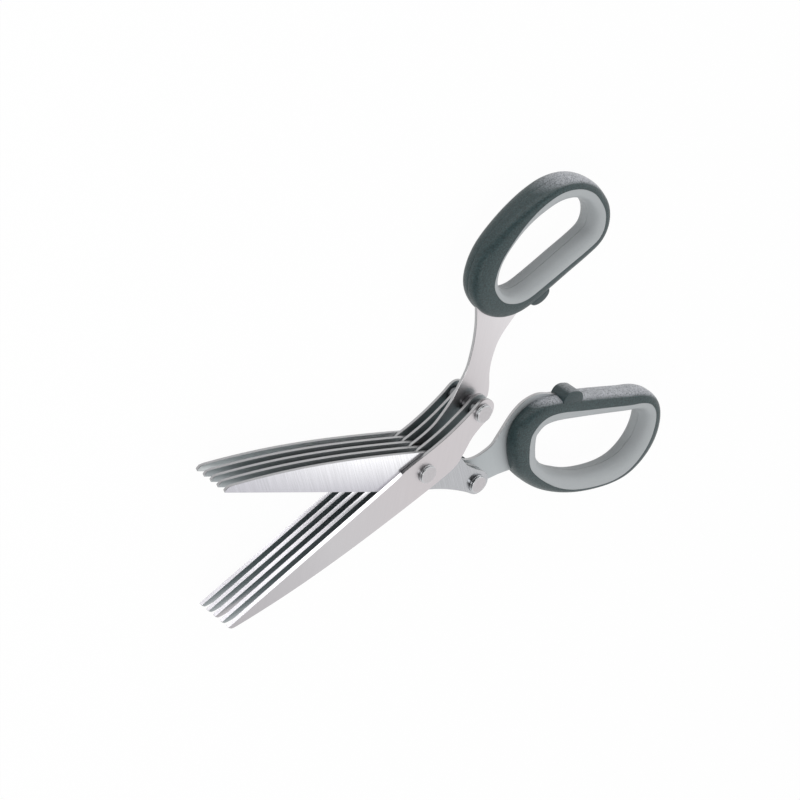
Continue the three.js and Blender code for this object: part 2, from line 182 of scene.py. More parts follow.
# %% [markdown]
# The blades are stamped from cold-rolled stainless strip and ground on a belt. The belt leaves fine
# straight scratches, all one way, which soften the mirror into a satin. Real scratches are about
# 0.02 mm wide, too fine to show at this distance, so they are drawn as coarse as 0.45 mm: noise
# squeezed one way and stretched the other. The tone of a face also drifts slowly across it, lighter
# and darker: that drift is painted light and shade, a product of fades, each along one axis of the
# piece. The scratches move the tone, the gloss and the normal together, as real ones do.

# %% Ground stainless steel
GRIND_SPACING = 0.45 * MM
GRIND_LENGTH = 16 * MM
GLOSS_SPREAD = 0.03
SCRATCH_STRENGTH = 0.25


def ground_steel(name, tones, fades, grain, heading, roughness, contrast, depth):
    """Stainless steel with scratches. tones are (place, hex) stops of the base colour, fades are
    (axis, start, end) whose product picks the tone, grain is the size of a scratch along and across
    its heading, in radians from +X, and upright. contrast and depth say how strong it is."""
    material, tree = new_material(name)
    place = add(tree, "TexCoord").outputs["Object"]
    picked = None
    for axis, start, end in fades:
        along = add(tree, "VectorMath", {"operation": "DOT_PRODUCT", 1: axis}, {0: place})
        share = add(tree, "MapRange", {"From Min": start, "From Max": end},
                    {"Value": along.outputs["Value"]})
        if picked:
            both = add(tree, "Math", {"operation": "MULTIPLY"}, {0: picked, 1: share.outputs["Result"]})
            picked = both.outputs["Value"]
        else:
            picked = share.outputs["Result"]
    # The tone that the fades pick is painted light and shade, lighter and darker along the piece.
    tone = add(tree, "ValToRGB", links={"Fac": picked})
    shade_stops(tone, [(stop, linear(colour)) for stop, colour in tones])
    turned_place = add(tree, "Mapping", {"vector_type": "TEXTURE", "Rotation": (0, 0, heading)},
                       {"Vector": place})
    squeezed = add(tree, "Mapping", {"Scale": tuple(1 / size for size in grain)},
                   {"Vector": turned_place.outputs["Vector"]})
    lines = add(tree, "TexNoise", {"Scale": 1, "Detail": 3, "Roughness": 0.55},
                {"Vector": squeezed.outputs["Vector"]})
    level = add(tree, "MapRange", {
        "From Min": NOISE_LOWEST, "From Max": NOISE_HIGHEST,
        "To Min": 1 - contrast, "To Max": 1 + contrast,
    }, {"Value": lines.outputs["Fac"]})
    colour = add(tree, "VectorMath", {"operation": "SCALE"},
                 {0: tone.outputs["Color"], "Scale": level.outputs["Result"]})
    gloss = add(tree, "MapRange", {"To Min": roughness - GLOSS_SPREAD, "To Max": roughness + GLOSS_SPREAD},
                {"Value": lines.outputs["Fac"]})
    scratches = add(tree, "Bump", {"Strength": SCRATCH_STRENGTH, "Distance": depth},
                    {"Height": lines.outputs["Fac"]})
    surface = add(tree, "BsdfPrincipled", {"Metallic": 1.0}, {
        "Base Color": colour.outputs["Vector"],
        "Roughness": gloss.outputs["Result"],
        "Normal": scratches.outputs["Normal"],
    })
    add(tree, "OutputMaterial", links={"Surface": surface.outputs["BSDF"]})
    return material


# %% [markdown]
# The same steel comes out of the works with several skins. The front and middle blades of the lower
# set are ground along a slant and are a soft satin. The front blade of the upper set is ground
# across, with streaks that show, and is painted bright on its spine side and towards the pivot, and
# darker at the cutting edge, at the tip and from the pivot onto the arm: a painted highlight with
# painted shade. The other blades are plain satin, but for the two faces of the upper set's rearmost
# gap, which are brushed lengthwise and painted lighter, as painted light in that open gap. The backs
# are painted dark and teal, darkest on the upper set and towards the pivot: painted shade that makes
# the gaps between the blades look deep. Backs that lie open, on the tangs and the two rearmost
# blades, are ground like the fronts. The edges were sheared by the stamping tool, which left short
# upright marks, and the cutting bevel was ground last, on a finer stone, so it is the brightest.

# %% The skins of the blades
HALF_OPENING = math.radians(18.47)
LOWER_ALONG = (math.cos(HALF_OPENING), math.sin(HALF_OPENING), 0)
UPPER_ALONG = (math.cos(HALF_OPENING), -math.sin(HALF_OPENING), 0)
UPPER_ACROSS = (math.sin(HALF_OPENING), math.cos(HALF_OPENING), 0)
SCRATCH = (GRIND_LENGTH, GRIND_SPACING, GRIND_LENGTH)
SHEAR_MARK = (0.3 * MM, 0.3 * MM, 4 * MM)
LOWER_GRIND = math.radians(78.5)
UPPER_GRIND = math.radians(105.7)
BEVEL_GRIND = HALF_OPENING + math.radians(90)
BEVEL_SCRATCH = (6 * MM, 0.35 * MM, 6 * MM)
TIP = -82 * MM
BLADE_END = 30 * MM
TANG = 60 * MM
EDGE_TO_SPINE = (-6 * MM, 5.5 * MM)
TIP_TO_MIDDLE = (TIP - 13 * MM, -30 * MM)
CLEAR_OF_PIVOT = (0, -6 * MM)
ONTO_TANG = (20 * MM, 50 * MM)
SATIN_DEPTH = 0.002 * MM
COARSE_DEPTH = 0.003 * MM
STONE_DEPTH = 0.0008 * MM

# Painted light: the tone is lighter towards the tang.
lower_face = ground_steel(
    "stainless_belt_satin",
    [(0, "#B2AFB2"), (0.3, "#C3C1C3"), (0.58, "#C7C2C4"), (0.79, "#C9C5C7"), (1, "#E2DFE1")],
    [(LOWER_ALONG, TIP, TANG)],
    SCRATCH, LOWER_GRIND, roughness=0.36, contrast=0.025, depth=SATIN_DEPTH)
# Painted highlight and painted shade: lighter on the spine side and towards the pivot, darker at the cutting
# edge, the tip and from the pivot onto the arm.
upper_front_face = ground_steel(
    "stainless_cross_ground_painted_highlight",
    [(0, "#B3B4B7"), (0.06, "#BEBDC4"), (1, "#F8F8FB")],
    [(UPPER_ACROSS, *EDGE_TO_SPINE), (UPPER_ALONG, *TIP_TO_MIDDLE), (UPPER_ALONG, *CLEAR_OF_PIVOT)],
    SCRATCH, UPPER_GRIND, roughness=0.22, contrast=0.1, depth=COARSE_DEPTH)
# Painted shade: darker where the tang meets the rivets and spacers, lighter further out on the tang.
upper_face = ground_steel(
    "stainless_plain_satin",
    [(0, "#AFB4B6"), (1, "#BCC0C2")],
    [(UPPER_ALONG, *ONTO_TANG)],
    SCRATCH, UPPER_GRIND, roughness=0.55, contrast=0.02, depth=SATIN_DEPTH)
# Painted light: the rearmost gap's two faces are painted lighter than the other blades' satin.
rearmost_face = ground_steel(
    "stainless_satin_painted_light",
    [(0, "#C4C8C9"), (0.4, "#E2E6E7"), (1, "#E9ECED")],
    [(UPPER_ALONG, TIP, 0)],
    SCRATCH, -HALF_OPENING, roughness=0.4, contrast=0.12, depth=SATIN_DEPTH)
# Painted shade: the backs are painted dark and teal, darkest towards the pivot, so that the gaps between the
# blades look deep; the tang ends stay light.
lower_back = ground_steel(
    "stainless_back_painted_shade",
    [(0, "#7E9799"), (0.79, "#6A8487"), (0.84, "#B4B4B6")],
    [(LOWER_ALONG, TIP, TANG)],
    SCRATCH, HALF_OPENING, roughness=0.28, contrast=0.04, depth=SATIN_DEPTH)
upper_back = ground_steel(
    "stainless_back_painted_shade_dark",
    [(0, "#7D9092"), (0.115, "#637577"), (0.577, "#4C5D60"), (0.79, "#4C5D60"), (0.84, "#AFB4B6")],
    [(UPPER_ALONG, TIP, TANG)],
    SCRATCH, -HALF_OPENING, roughness=0.28, contrast=0.04, depth=SATIN_DEPTH)
sheared_edge = ground_steel(
    "stainless_sheared_edge",
    [(0, "#A9A9AB"), (1, "#B2B2B3")],
    [(LOWER_ALONG, TIP, BLADE_END)],
    SHEAR_MARK, 0, roughness=0.3, contrast=0.1, depth=COARSE_DEPTH)
bevel_face = ground_steel(
    "stainless_stoned_bevel",
    [(0, "#CBC9CE"), (1, "#CFCDD0")],
    [(LOWER_ALONG, TIP, 0)],
    BEVEL_SCRATCH, BEVEL_GRIND, roughness=0.17, contrast=0.06, depth=STONE_DEPTH)
print("steels:", [material.name for material in bpy.data.materials if material.name.startswith("stainless")])

# %% [markdown]
# Rivets and spacers are turned from bar. The tool leaves rings too fine to see, so a turned side is
# nearly a mirror: dark where it shows the unlit room, with a thin line of light on each broken edge.
# The spacers are painted much darker than the rivets, as painted shade between the plates.
# The face of a rivet's head was parted off and tumbled, which leaves a faint, even mottle. Its marks
# are about 0.1 mm across, too fine to show, so they are drawn at 0.8 mm.

# %% Turned steel
MOTTLE_SIZE = 0.8 * MM


def turned_steel(name, colour, roughness, mottling):
    """Bright turned steel. mottling is how much its tone and gloss wander."""
    material, tree = new_material(name)
    place = add(tree, "TexCoord")
    mottle = add(tree, "TexNoise", {"Scale": 1 / MOTTLE_SIZE, "Detail": 3},
                 {"Vector": place.outputs["Object"]})
    gloss = add(tree, "MapRange", {
        "To Min": roughness * (1 - mottling), "To Max": roughness * (1 + mottling),
    }, {"Value": mottle.outputs["Fac"]})
    tone = add(tree, "ValToRGB", links={"Fac": mottle.outputs["Fac"]})
    base = linear(colour)
    darker = tuple((1 - mottling / 3) * c for c in base[:3]) + (1,)
    shade_stops(tone, [(MOSTLY_FROM, darker), (MOSTLY_TO, base)])
    surface = add(tree, "BsdfPrincipled", {"Metallic": 1.0}, {
        "Base Color": tone.outputs["Color"],
        "Roughness": gloss.outputs["Result"],
    })
    add(tree, "OutputMaterial", links={"Surface": surface.outputs["BSDF"]})
    return material


rivet_face = turned_steel("steel_tumbled_face", "#BEBBBD", roughness=0.32, mottling=0.2)
rivet_side = turned_steel("steel_turned_side", "#C2C4C6", roughness=0.12, mottling=0.2)
# Painted shade: the same turned steel, painted darker where it sits between the plates.
spacer_steel = turned_steel("steel_turned_spacer_painted_shade", "#747678", roughness=0.1, mottling=0.2)
print("turned steels:", rivet_face.name, rivet_side.name, spacer_steel.name)

# %% [markdown]
# The loops are injection moulded. The dark shells are polypropylene from a spark-eroded mould, whose
# skin is a fine even grain that breaks every highlight into speckles. The liners are a softer
# elastomer with a smoother, silkier skin. The true grain is about 0.1 mm, and is drawn at 0.5 mm so
# that it shows. On the walls that face +Y and a little +X, towards the key light, the grain's tips
# are painted bright: a painted sheen that gives those walls a silvery speckle. The stop pads take
# less of that painted sheen and keep a smoother, darker skin. The gloss drifts in clouds of 9 mm,
# where the melt cooled unevenly.

# %% Moulded plastics
GRAIN_SIZE = 0.5 * MM
# A painted sheen: the grain's tips are painted bright on walls that face this side, towards the key light.
PAINTED_SHEEN_SIDE = (0.49, 0.87, -0.03)
PAINTED_SHEEN_COLOUR = "#B2B4BA"
PAINTED_SHEEN_STARTS = 0.66
PAINTED_SHEEN_IS_FULL = 0.92
TIPS_START = 0.35
TIPS_ARE_FULL = 0.6
PAINTED_SHEEN_IN_VALLEYS = 0.3
CLOUD_SIZE = 9 * MM
CLOUD_SPREAD = 0.05


def moulded_plastic(name, colour, roughness, grain_depth, speckle, painted_sheen):
    """Moulded plastic with a spark-eroded grain. speckle is how much the grain's tips differ in tone,
    and the last argument says how much painted sheen, a painted highlight, the grain's tips take on
    the walls that face the lit side."""
    material, tree = new_material(name)
    place_of = add(tree, "TexCoord")
    place = place_of.outputs["Object"]
    grain = add(tree, "TexNoise", {"Scale": 1 / GRAIN_SIZE, "Detail": 2, "Roughness": 0.6},
                {"Vector": place})
    clouds = add(tree, "TexNoise", {"Scale": 1 / CLOUD_SIZE, "Detail": 2}, {"Vector": place})
    tone = add(tree, "ValToRGB", links={"Fac": grain.outputs["Fac"]})
    base = linear(colour)
    shade_stops(tone, [
        (MOSTLY_FROM, tuple((1 - speckle) * c for c in base[:3]) + (1,)),
        (MOSTLY_TO, tuple((1 + speckle) * c for c in base[:3]) + (1,)),
    ])
    gloss = add(tree, "MapRange", {"To Min": roughness - CLOUD_SPREAD, "To Max": roughness + CLOUD_SPREAD},
                {"Value": clouds.outputs["Fac"]})
    skin = add(tree, "Bump", {"Strength": 1.0, "Distance": grain_depth}, {"Height": grain.outputs["Fac"]})
    # Painted sheen: the tips are painted lighter on walls that face the lit side.
    facing = add(tree, "VectorMath", {"operation": "DOT_PRODUCT", 1: PAINTED_SHEEN_SIDE},
                 {0: place_of.outputs["Normal"]})
    sheen_by_facing = add(tree, "MapRange", {"From Min": PAINTED_SHEEN_STARTS, "From Max": PAINTED_SHEEN_IS_FULL, "To Max": painted_sheen},
                 {"Value": facing.outputs["Value"]})
    tips = add(tree, "MapRange", {
        "From Min": TIPS_START, "From Max": TIPS_ARE_FULL, "To Min": PAINTED_SHEEN_IN_VALLEYS,
    }, {"Value": grain.outputs["Fac"]})
    share = add(tree, "Math", {"operation": "MULTIPLY"},
                {0: sheen_by_facing.outputs["Result"], 1: tips.outputs["Result"]})
    with_sheen = add(tree, "Mix", {"data_type": "RGBA", "B": linear(PAINTED_SHEEN_COLOUR)},
                 {"Factor": share.outputs["Value"], "A": tone.outputs["Color"]})
    surface = add(tree, "BsdfPrincipled", {"IOR": 1.49}, {
        "Base Color": with_sheen.outputs["Result"],
        "Roughness": gloss.outputs["Result"],
        "Normal": skin.outputs["Normal"],
    })
    add(tree, "OutputMaterial", links={"Surface": surface.outputs["BSDF"]})
    return material


shell_plastic = moulded_plastic(
    "polypropylene_spark_eroded", "#263739",
    roughness=0.36, grain_depth=0.14 * MM, speckle=0.4, painted_sheen=1)
pad_plastic = moulded_plastic(
    "polypropylene_pad_skin", "#253538",
    roughness=0.3, grain_depth=0.1 * MM, speckle=0.3, painted_sheen=0.4)
liner_plastic = moulded_plastic(
    "elastomer_silk", "#9DA1A3",
    roughness=0.48, grain_depth=0.02 * MM, speckle=0.02, painted_sheen=0)
print("plastics:", shell_plastic.name, pad_plastic.name, liner_plastic.name)

# %% [markdown]
# Each rebuilt piece rides with its node's body and hides that node. Both come from the frame, so one
# function can do it for every piece.

# %% Putting a piece in its node's place
SHADING_CORNER = math.radians(30)


def new_piece(name, points, faces, materials, face_materials=None):
    """A mesh object with its materials. face_materials holds one material number for each face."""
    mesh = bpy.data.meshes.new(name)
    mesh.from_pydata(points, [], faces)
    for material in materials:
        mesh.materials.append(material)
    if face_materials:
        mesh.polygons.foreach_set("material_index", face_materials)
    piece = bpy.data.objects.new(name, mesh)
    bpy.context.scene.collection.objects.link(piece)
    return piece


def smooth_but_for_corners(piece, corner_angle=SHADING_CORNER):
    """Turns the normals out, and shades the mesh smooth but where faces meet at more than that angle."""
    shape = bmesh.new()
    shape.from_mesh(piece.data)
    bmesh.ops.recalc_face_normals(shape, faces=shape.faces)
    for face in shape.faces:
        face.smooth = True
    for edge in shape.edges:
        edge.smooth = edge.is_manifold and edge.calc_face_angle() < corner_angle
    shape.to_mesh(piece.data)
    shape.free()


def stand_in_for(piece, node):
    """The piece rides with the node's body and hides the node."""
    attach(piece, frame["nodes"][node]["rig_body"])
    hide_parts(node)


# %% [markdown]
# A stamped plate is an outline with holes in it. The frame's faceted plates have few points, so
# their outlines are read back and drawn again as smooth curves: each stretch between two points
# becomes a cubic that leaves and arrives along the average direction there. Beside a short stretch
# that direction holds for a short way only, so a long straight edge stays straight. Where the
# outline turns sharply, as at a blade's tip, the corner is real and is kept.

# %% Outlines from the frame
CORNER_ANGLE = math.radians(50)
LONGEST_PULL = 2.5
SHARPEST_MITRE = 0.5


def signed_area(loop):
    """The area inside an outline, negative if it runs clockwise."""
    return sum(a.x * b.y - b.x * a.y for a, b in zip(loop, loop[1:] + loop[:1])) / 2


def face_loops(node, height):
    """The outlines of the node's flat face at that height, longest first, all anticlockwise."""
    shape = bmesh.new()
    shape.from_mesh(frame["nodes"][node].data)
    bmesh.ops.remove_doubles(shape, verts=shape.verts, dist=WELD)
    flat = [face for face in shape.faces if all(abs(v.co.z - height) < WELD for v in face.verts)]
    inside = set(flat)
    following = {}
    for face in flat:
        for corner in face.loops:
            if not any(other in inside for other in corner.edge.link_faces if other is not face):
                following[corner.vert] = corner.link_loop_next.vert
    loops = []
    while following:
        here = next(iter(following))
        loop = []
        while here in following:
            loop.append(here.co.xy.copy())
            here = following.pop(here)
        loops.append(loop if signed_area(loop) > 0 else loop[::-1])
    shape.free()
    return sorted(loops, key=lambda loop: -abs(signed_area(loop)))


def turning(loop, i):
    """How far the outline turns at point i, in radians."""
    before = loop[i] - loop[i - 1]
    after = loop[(i + 1) % len(loop)] - loop[i]
    return abs(before.angle_signed(after))


def smooth_outline(loop, corners, pieces):
    """The closed outline with each stretch i cut into pieces[i], curved except at the corners."""
    count = len(loop)
    sides = [loop[(i + 1) % count] - loop[i] for i in range(count)]
    headings = []
    for i in range(count):
        before, after = sides[i - 1], sides[i]
        mixed = before.normalized() * after.length + after.normalized() * before.length
        headings.append(mixed.normalized())
    result = []
    for i, side in enumerate(sides):
        j = (i + 1) % count
        leaving = arriving = side
        if i not in corners:
            leaving = headings[i] * min(side.length, LONGEST_PULL * sides[i - 1].length)
        if j not in corners:
            arriving = headings[j] * min(side.length, LONGEST_PULL * sides[j].length)
        for step in range(pieces[i]):
            t = step / pieces[i]
            point = loop[i] * (2 * t**3 - 3 * t**2 + 1) + loop[j] * (3 * t**2 - 2 * t**3)
            result.append(point + leaving * (t**3 - 2 * t**2 + t) + arriving * (t**3 - t**2))
    return result


def inset(loop, distances):
    """The anticlockwise outline with each point moved inward by its distance."""
    moved = []
    for i, (point, distance) in enumerate(zip(loop, distances)):
        before = (point - loop[i - 1]).normalized()
        after = (loop[(i + 1) % len(loop)] - point).normalized()
        inward = Vector((-before.y - after.y, before.x + after.x)).normalized()
        square = Vector((-before.y, before.x))
        moved.append(point + inward * distance / max(inward.dot(square), SHARPEST_MITRE))
    return moved


# %% [markdown]
# A plate is then a stack of rings: the rear face's outline drawn in a little, the full outline just
# above it, the same two at the front, and a flat cap on each end. The step between the rings is the
# broken edge that tumbling leaves on a stamped plate, and it catches a thin line of light. Where the
# front outline lies behind the rear one, the wall between them is the ground bevel. It was cut after
# the tumbling, so both its edges are sharp.

# %% Plates
CURVE_STEP = 0.9 * MM
BROKEN_EDGE = 0.1 * MM
SHARP_EDGE = 0.01 * MM
SHARP_DROP = SHARP_EDGE / 10
BEVEL_RUN = 0.15 * MM
HOLE_SIDES = 48
FRONT, REAR, EDGE, BEVEL = range(4)


def round_hole(loop):
    """A true circle in place of a faceted hole."""
    centre = sum(loop, Vector((0, 0))) / len(loop)
    radius = max((point - centre).length for point in loop)
    turn = 2 * math.pi / HOLE_SIDES
    return [centre + radius * Vector((math.cos(i * turn), math.sin(i * turn))) for i in range(HOLE_SIDES)]


def stacked_rings(levels, holes):
    """Points and faces of a solid with its outlines in levels, lists of points from the rear up, and
    with straight holes through it. Also says of each face whether it is an EDGE, the FRONT or the
    REAR, and for a face of the wall which levels and which stretch of the outline it lies between."""
    points, faces, kinds = [], [], []
    rings = []
    for outline in levels:
        rings.append(range(len(points), len(points) + len(outline)))
        points += outline
    hole_rings = []
    for hole in holes:
        pair = []
        for height in (levels[0][0][2], levels[-1][0][2]):
            pair.append(range(len(points), len(points) + len(hole)))
            points += [(point.x, point.y, height) for point in hole]
        hole_rings.append(pair)
    for gap, (low, high) in enumerate(zip(rings, rings[1:])):
        for i in range(len(low)):
            j = (i + 1) % len(low)
            faces.append((low[i], low[j], high[j], high[i]))
            kinds.append((EDGE, gap, i))
    for low, high in hole_rings:
        for i in range(len(low)):
            j = (i + 1) % len(low)
            faces.append((low[j], low[i], high[i], high[j]))
            kinds.append((EDGE, -1, i))
    for end, ring, kind in ((0, rings[0], REAR), (1, rings[-1], FRONT)):
        edges = [ring] + [pair[end] for pair in hole_rings]
        flat = [number for edge in edges for number in edge]
        for triangle in tessellate_polygon([[Vector(points[n]) for n in edge] for edge in edges]):
            faces.append(tuple(flat[n] for n in triangle))
            kinds.append((kind, -1, 0))
    return points, faces, kinds


def make_plate(node, front_material, rear_material):
    """A smooth ground plate in place of a faceted one, with a finish of its own on each kind of face."""
    low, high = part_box(node)
    rear, *holes = face_loops(node, low.z)
    front = face_loops(node, high.z)[0]
    edge_rear = min(range(len(rear)), key=lambda i: rear[i].length)
    start = min(range(len(front)), key=lambda i: (front[i] - rear[edge_rear]).length)
    rear = rear[edge_rear:] + rear[:edge_rear]
    front = front[start:] + front[:start]
    corners = {i for i in range(len(rear)) if turning(rear, i) > CORNER_ANGLE}
    pieces = []
    for i, point in enumerate(rear):
        pieces.append(max(1, round((rear[(i + 1) % len(rear)] - point).length / CURVE_STEP)))
    fine_rear = smooth_outline(rear, corners, pieces)
    fine_front = smooth_outline(front, corners, pieces)
    bevelled = [(a - b).length > BEVEL_RUN for a, b in zip(fine_rear, fine_front)]
    broken = [SHARP_EDGE if is_bevel else BROKEN_EDGE for is_bevel in bevelled]
    levels = [[], [], [], []]
    for below, above, is_bevel in zip(fine_rear, fine_front, bevelled):
        drop = SHARP_DROP if is_bevel else BROKEN_EDGE
        levels[1].append((*below, low.z + drop))
        levels[2].append((*above, high.z - drop))
    levels[0] = [(*point, low.z) for point in inset(fine_rear, broken)]
    levels[3] = [(*point, high.z) for point in inset(fine_front, broken)]
    points, faces, kinds = stacked_rings(levels, [round_hole(hole) for hole in holes])
    finish = []
    for kind, gap, i in kinds:
        finish.append(BEVEL if gap == 1 and bevelled[i] else kind)
    materials = [front_material, rear_material, sheared_edge, bevel_face]
    piece = new_piece(f"{node}_ground", points, faces, materials, finish)
    smooth_but_for_corners(piece)
    stand_in_for(piece, node)
    return len(faces), finish.count(BEVEL)


LOWER_FRONTS = (lower_face, upper_face, lower_face, upper_face, upper_face)
LOWER_BACKS = (lower_back, lower_back, lower_back, lower_back, lower_face)
UPPER_FRONTS = (upper_front_face, upper_face, upper_face, upper_face, rearmost_face)
UPPER_BACKS = (upper_back, upper_back, upper_back, rearmost_face, upper_face)
for i in range(5):
    number = i + 1
    lower = make_plate(f"lower_blade_{number}", LOWER_FRONTS[i], LOWER_BACKS[i])
    upper = make_plate(f"upper_blade_{number}", UPPER_FRONTS[i], UPPER_BACKS[i])
    print("blade", number, "faces and bevel faces: lower", lower, "upper", upper)

# %% [markdown]
# Rivets, washers and spacers are turned, so each is a profile spun round its axis. The frame has the
# lengths and radii; the profile here adds what a lathe leaves. A rivet's front head is turned in two
# steps, a collar and a slightly narrower button, and both have a small rounded rim that catches the
# light. A spacer has its edges broken.

# %% Turned pieces
TURNED_SIDES = 72
COLLAR_HEIGHT = 0.6 * MM
COLLAR_STEP = 0.15 * MM
COLLAR_ROUNDING = 0.1 * MM
HEAD_ROUNDING = 0.26 * MM
END_ROUNDING = 0.2 * MM
ROUNDING_STEPS = 4
SPACER_EDGE = 0.15 * MM
BORE_RADIUS = 2.08 * MM
BORE_CLEARANCE = 0.08 * MM


def turned(name, profile, centre, materials, face_from=None):
    """A profile of (radius, height) pairs, from the bottom up, spun round the upright axis at centre.
    It ends on the axis or closes on itself. From point face_from on it takes the second material."""
    points = []
    rings = []
    for radius, height in profile:
        count = TURNED_SIDES if radius > 0 else 1
        rings.append(range(len(points), len(points) + count))
        for i in range(count):
            angle = 2 * math.pi * i / TURNED_SIDES
            points.append((
                centre.x + radius * math.cos(angle),
                centre.y + radius * math.sin(angle),
                centre.z + height,
            ))
    faces, finish = [], []
    closed = profile[0][0] > 0
    pairs = list(zip(rings, rings[1:])) + ([(rings[-1], rings[0])] if closed else [])
    for number, (low, high) in enumerate(pairs):
        for i in range(TURNED_SIDES):
            j = (i + 1) % TURNED_SIDES
            corners = [low[i % len(low)], low[j % len(low)], high[j % len(high)], high[i % len(high)]]
            faces.append(tuple(dict.fromkeys(corners)))
            finish.append(int(face_from is not None and number >= face_from))
    piece = new_piece(name, points, faces, materials, finish)
    smooth_but_for_corners(piece)
    return piece


def rounded_rim(radius, height, rounding):
    """Points of a rounded edge, from a head's side to its face."""
    arc = []
    for i in range(ROUNDING_STEPS + 1):
        angle = math.pi / 2 * i / ROUNDING_STEPS
        arc.append((radius - rounding * (1 - math.cos(angle)), height - rounding * (1 - math.sin(angle))))
    return arc


def rings_of(node):
    """The centre of a turned piece's rear face, and the (radius, height) of each of its rings of points."""
    low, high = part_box(node)
    centre = Vector(((low.x + high.x) / 2, (low.y + high.y) / 2, low.z))
    widest = {}
    for vertex in frame["nodes"][node].data.vertices:
        away = vertex.co - centre
        height = round(away.z / WELD) * WELD
        widest[height] = max(widest.get(height, 0), away.xy.length)
    return centre, [(widest[height], height) for height in sorted(widest)]


def make_rivet(node):
    """A turned rivet in place of its node. Gives its head's width and its length in mm."""
    centre, rings = rings_of(node)
    end_radius, end_height = rings[1][0], rings[2][1]
    head_radius, under_head = rings[3]
    top = rings[-1][1]
    shank = BORE_RADIUS - BORE_CLEARANCE
    button = head_radius - COLLAR_STEP
    end = [(radius, -height) for radius, height in reversed(rounded_rim(end_radius, 0, END_ROUNDING))]
    collar_top = under_head + COLLAR_HEIGHT
    profile = [
        (0, 0), *end, (end_radius, end_height), (shank, end_height), (shank, under_head),
        (head_radius, under_head), *rounded_rim(head_radius, collar_top, COLLAR_ROUNDING),
        (button, collar_top), *rounded_rim(button, top, HEAD_ROUNDING), (0, top),
    ]
    piece = turned(f"{node}_turned", profile, centre, [rivet_side, rivet_face], len(profile) - 2)
    stand_in_for(piece, node)
    return round(2 * head_radius / MM, 2), round(top / MM, 2)


def make_collar(node):
    """A turned spacer or washer in place of its node."""
    centre, rings = rings_of(node)
    radius, length = rings[0][0], rings[-1][1]
    profile = [
        (BORE_RADIUS, 0), (radius - SPACER_EDGE, 0), (radius, SPACER_EDGE),
        (radius, length - SPACER_EDGE), (radius - SPACER_EDGE, length), (BORE_RADIUS, length),
    ]
    stand_in_for(turned(f"{node}_turned", profile, centre, [spacer_steel]), node)


for node in ("pivot_rivet", "lower_set_rivet", "upper_set_rivet"):
    print(node, "head across and length in mm:", make_rivet(node))
for number in range(1, 5):
    make_collar(f"pivot_washer_{number}")
    make_collar(f"lower_set_spacer_{number}")
    make_collar(f"upper_set_spacer_{number}")

# %% [markdown]
# A finger loop is one section carried round a closed rim, the line where the dark shell and the grey
# liner meet. The frame's shell has that rim as its highest ring of points, and how far the wall
# stands out from it is measured with rays. The section is a squarish oval, a superellipse, which is
# how a comfortable handle is drawn: nearly flat in the middle with well-rounded shoulders.

# %% Rims of the loops
RIM_STEPS = 5
SECTION_POWER = 2.5
PROBE_LEVEL = 0.758
PROBE_START = 0.4 * MM
WALL_SPARE = 0.03 * MM


def rim_points(shell):
    """The shell's highest ring, anticlockwise, redrawn as a smooth closed curve."""
    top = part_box(shell)[1].z
    found = {}
    for vertex in frame["nodes"][shell].data.vertices:
        if top - vertex.co.z < WELD:
            found[(round(vertex.co.x / WELD), round(vertex.co.y / WELD))] = vertex.co.xy.copy()
    ring = list(found.values())
    centre = sum(ring, Vector((0, 0))) / len(ring)
    ring.sort(key=lambda point: math.atan2(point.y - centre.y, point.x - centre.x))
    return smooth_outline(ring, set(), [RIM_STEPS] * len(ring))


def outward_of(ring):
    """The outward direction at each point of an anticlockwise ring."""
    result = []
    for i in range(len(ring)):
        along = ring[(i + 1) % len(ring)] - ring[i - 1]
        result.append(Vector((along.y, -along.x)).normalized())
    return result


def evened(values, rounds):
    """The values round a ring, each averaged with its neighbours so many times over."""
    for _ in range(rounds):
        values = [
            (values[i - 1] + 2 * value + values[(i + 1) % len(values)]) / 4
            for i, value in enumerate(values)
        ]
    return values


def wall_reach(node, ring, outward, side, level):
    """How far the node's wall stands from the rim at full width. side is 1 outward and -1 inward, and
    level is the height where the rays run, as a share of half the depth."""
    low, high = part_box(node)
    height = (low.z + high.z) / 2 - level * (high.z - low.z) / 2
    shape = bmesh.new()
    shape.from_mesh(frame["nodes"][node].data)
    tree = BVHTree.FromBMesh(shape)
    shape.free()
    narrowing = (1 - level**SECTION_POWER) ** (1 / SECTION_POWER)
    reach = []
    for point, direction in zip(ring, outward):
        way = Vector((*(direction * side), 0))
        start = Vector((*point, height)) + way * PROBE_START
        hit = tree.ray_cast(start, way)
        reach.append((hit[3] + PROBE_START) / narrowing)
    return evened(reach, 2 * RIM_STEPS)


# %% [markdown]
# The section is given as heights, close together at the shoulders and round the parting line, where
# the two halves of the mould met and left a fine groove. One function carries it round the rim and
# closes it along the wall that shell and liner share.

# %% Carrying the section round
SHOULDER_STEPS = 12
PARTING_WIDTH = 0.16 * MM
SHELL_PARTING = 0.06 * MM
LINER_PARTING = 0.2 * MM
SHARED_WALL_GAP = 0.04 * MM
SHOULDER_CORNER = math.radians(40)


def section_heights(half_depth):
    """Heights from the bottom of the section to its top."""
    upper = [PARTING_WIDTH / 2, PARTING_WIDTH]
    for i in range(1, SHOULDER_STEPS + 1):
        angle = math.pi / 2 * i / SHOULDER_STEPS
        upper.append(half_depth * math.sin(angle) ** (2 / SECTION_POWER))
    return [-h for h in reversed(upper)] + [0] + upper


